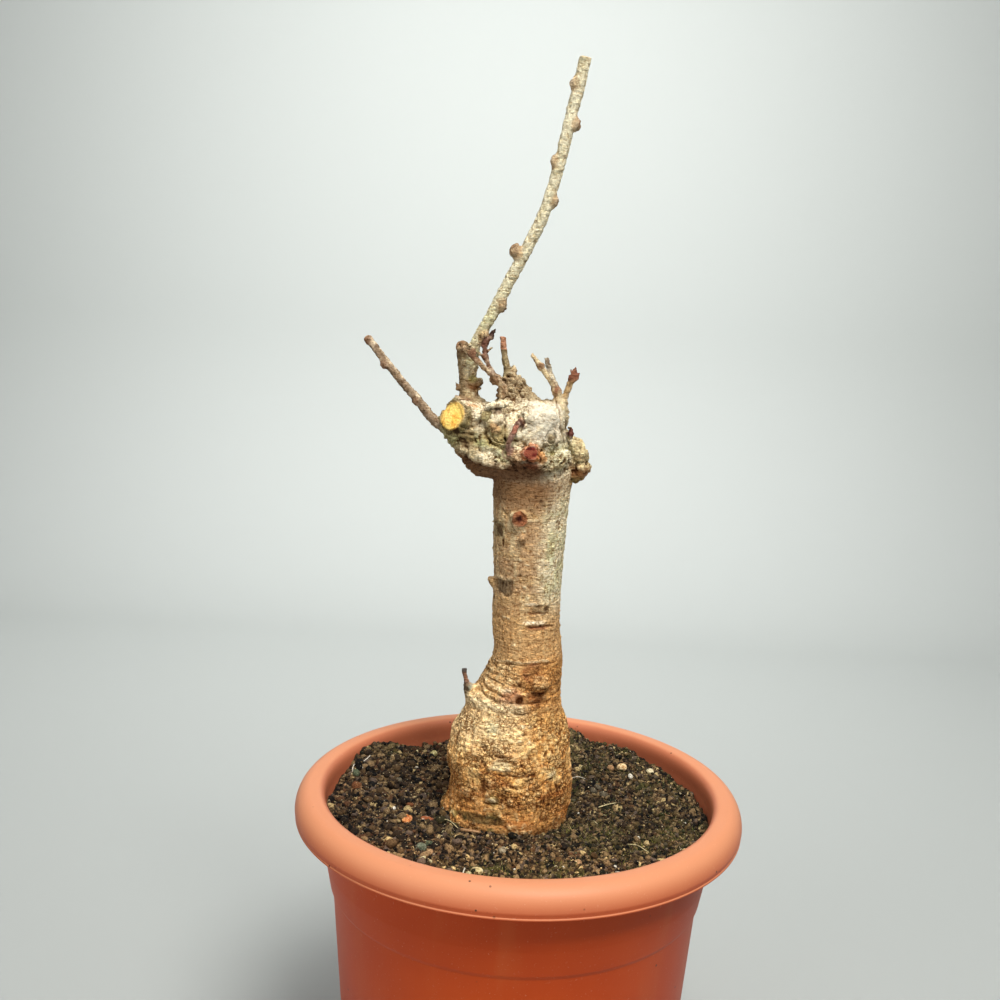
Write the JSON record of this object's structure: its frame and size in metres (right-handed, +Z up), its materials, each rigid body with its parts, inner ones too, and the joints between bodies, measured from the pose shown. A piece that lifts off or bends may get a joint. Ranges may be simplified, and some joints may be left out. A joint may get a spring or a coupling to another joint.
{
  "type": "potted baobab",
  "caption": "Young caudex tree with a swollen foot, a cut-back knuckled head and a bare shoot, standing in a round rolled-rim pot of dark potting mix.",
  "frame": {"origin": "centre of the pot's underside, at the height of the surface that it stands on", "axes": "+Z up along the stem; -Y towards the side with the head's scarred face; -X towards the sawn branch stub and the single low twig"},
  "size_m": [0.26, 0.26, 0.6301],
  "materials": {
    "terracotta_plastic": "satin moulded plastic, terracotta colour, faint dust",
    "potting_mix": "dark crumbly compost and bark fines, matt and slightly moist",
    "bark": "grey-tan papery bark, whitish on the head, ochre and rough at the foot",
    "tan_bark": "dry orange-tan bark, matt",
    "red_bark": "red-brown bark, matt",
    "pale_grit": "pale mineral grit, matt"
  },
  "bodies": {
    "root": {"pot": "terracotta_plastic", "potting_mix": "potting_mix", "baobab": "bark", "bark_chip_tan": "tan_bark", "bark_chip_red": "red_bark", "grit_stone_1": "pale_grit", "grit_stone_2": "pale_grit", "grit_stone_3": "pale_grit", "grit_stone_4": "pale_grit", "grit_stone_5": "pale_grit", "grit_stone_6": "pale_grit"}
  },
  "joints": []
}
